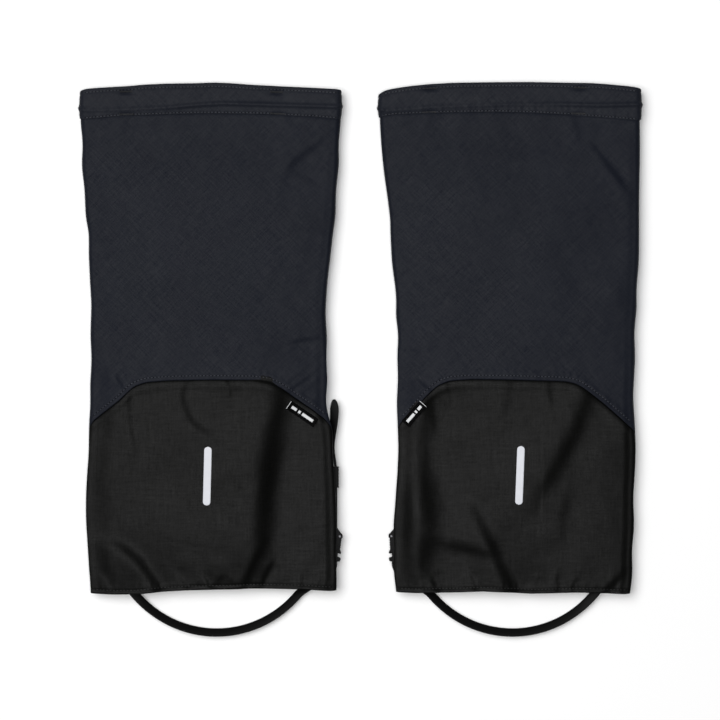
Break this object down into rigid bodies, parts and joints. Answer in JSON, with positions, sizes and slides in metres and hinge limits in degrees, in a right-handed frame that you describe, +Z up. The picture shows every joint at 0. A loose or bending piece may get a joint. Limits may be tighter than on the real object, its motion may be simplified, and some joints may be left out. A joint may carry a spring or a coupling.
{
  "type": "gaiters",
  "caption": "Pair of full-height mountaineering gaiters lying flat, calf side up, with drawcord hem, front flap, instep strap and cam buckle.",
  "frame": {"origin": "on the floor, at the middle of the pair's outline", "axes": "+X to the right, +Y towards the top edges, +Z up from the floor to the calf side"},
  "size_m": [0.4732, 0.4642, 0.0184],
  "materials": {
    "softshell": "fine matt softshell weave, charcoal",
    "pack_cloth": "coated basket-weave pack cloth, black, slight sheen",
    "elastic_cord": "braided elastic",
    "moulded_plastic": "fine spark texture",
    "steel": "satin",
    "dark_metal": "black oxide",
    "hook_and_loop": "hook and loop pile",
    "pu_strap": "coated strap, matt",
    "webbing": "woven tape",
    "reflective": "glass-bead retroreflective transfer",
    "label": "satin woven label, plain stripes"
  },
  "bodies": {
    "left_gaiter": {"left_upper_shell": "softshell", "left_lower_shell": "pack_cloth", "left_top_hem": "softshell", "left_drawcord": "elastic_cord", "left_cord_end_tab": "moulded_plastic", "left_underflap": "softshell", "left_hook_strip": "hook_and_loop", "left_snap_stud": "steel", "left_lace_hook": "dark_metal", "left_lace_hook_rivets": "dark_metal", "left_instep_strap": "pu_strap", "left_strap_anchor_patch": "pack_cloth", "left_strap_anchor_rivet": "dark_metal", "left_strap_keeper": "elastic_cord", "left_buckle_frame": "moulded_plastic", "left_buckle_pin": "steel", "left_buckle_webbing": "webbing", "left_reflective_bar": "reflective", "left_label": "label", "left_bar_tacks": "webbing"},
    "left_flap": {"left_storm_flap": "softshell", "left_loop_strip": "hook_and_loop", "left_snap_cap": "dark_metal", "left_snap_socket": "steel"},
    "left_cord_lock": {"left_cord_lock_body": "moulded_plastic", "left_cord_lock_spring": "steel"},
    "left_lock_button": {"left_cord_lock_plunger": "moulded_plastic"},
    "left_strap_end": {"left_strap_tail": "pu_strap"},
    "left_lever": {"left_buckle_lever": "moulded_plastic"},
    "right_gaiter": {"right_upper_shell": "softshell", "right_lower_shell": "pack_cloth", "right_top_hem": "softshell", "right_drawcord": "elastic_cord", "right_cord_end_tab": "moulded_plastic", "right_underflap": "softshell", "right_hook_strip": "hook_and_loop", "right_snap_stud": "steel", "right_lace_hook": "dark_metal", "right_lace_hook_rivets": "dark_metal", "right_instep_strap": "pu_strap", "right_strap_anchor_patch": "pack_cloth", "right_strap_anchor_rivet": "dark_metal", "right_strap_keeper": "elastic_cord", "right_buckle_frame": "moulded_plastic", "right_buckle_pin": "steel", "right_buckle_webbing": "webbing", "right_reflective_bar": "reflective", "right_label": "label", "right_bar_tacks": "webbing"},
    "right_flap": {"right_storm_flap": "softshell", "right_loop_strip": "hook_and_loop", "right_snap_cap": "dark_metal", "right_snap_socket": "steel"},
    "right_cord_lock": {"right_cord_lock_body": "moulded_plastic", "right_cord_lock_spring": "steel"},
    "right_lock_button": {"right_cord_lock_plunger": "moulded_plastic"},
    "right_strap_end": {"right_strap_tail": "pu_strap"},
    "right_lever": {"right_buckle_lever": "moulded_plastic"}
  },
  "joints": [
    {"name": "left_flap_hinge", "type": "hinge", "parent": "left_gaiter", "child": "left_flap", "pos_m": [-0.1566, 0.00409, 0.00385], "axis": [0, 1, 0], "range_deg": [0, 140]},
    {"name": "left_cord_lock_slide", "type": "slide", "parent": "left_gaiter", "child": "left_cord_lock", "axis": [-1, 0, 0], "range_m": [0, 0.008]},
    {"name": "left_lock_button_press", "type": "slide", "parent": "left_cord_lock", "child": "left_lock_button", "axis": [0, -1, 0], "range_m": [0, 0.003], "deforming": ["left_cord_lock_spring"]},
    {"name": "left_strap_adjust", "type": "slide", "parent": "left_gaiter", "child": "left_strap_end", "axis": [0, 1, 0], "range_m": [0, 0.025]},
    {"name": "left_lever_pivot", "type": "hinge", "parent": "left_gaiter", "child": "left_lever", "pos_m": [-0.0174, -0.14811, 0.005], "axis": [0, 0, 1], "range_deg": [0, 75]},
    {"name": "right_flap_hinge", "type": "hinge", "parent": "right_gaiter", "child": "right_flap", "pos_m": [0.1566, 0.00409, 0.00385], "axis": [0, -1, 0], "range_deg": [0, 140]},
    {"name": "right_cord_lock_slide", "type": "slide", "parent": "right_gaiter", "child": "right_cord_lock", "axis": [1, 0, 0], "range_m": [0, 0.008]},
    {"name": "right_lock_button_press", "type": "slide", "parent": "right_cord_lock", "child": "right_lock_button", "axis": [0, -1, 0], "range_m": [0, 0.003], "deforming": ["right_cord_lock_spring"]},
    {"name": "right_strap_adjust", "type": "slide", "parent": "right_gaiter", "child": "right_strap_end", "axis": [0.0785, 0.9969, 0], "range_m": [0, 0.025]},
    {"name": "right_lever_pivot", "type": "hinge", "parent": "right_gaiter", "child": "right_lever", "pos_m": [0.02603, -0.14793, 0.005], "axis": [0, 0, -1], "range_deg": [0, 75]},
    {"name": "pair_spacing", "type": "slide", "parent": "left_gaiter", "child": "right_gaiter", "axis": [1, 0, 0], "range_m": [-0.02, 0.15]}
  ]
}
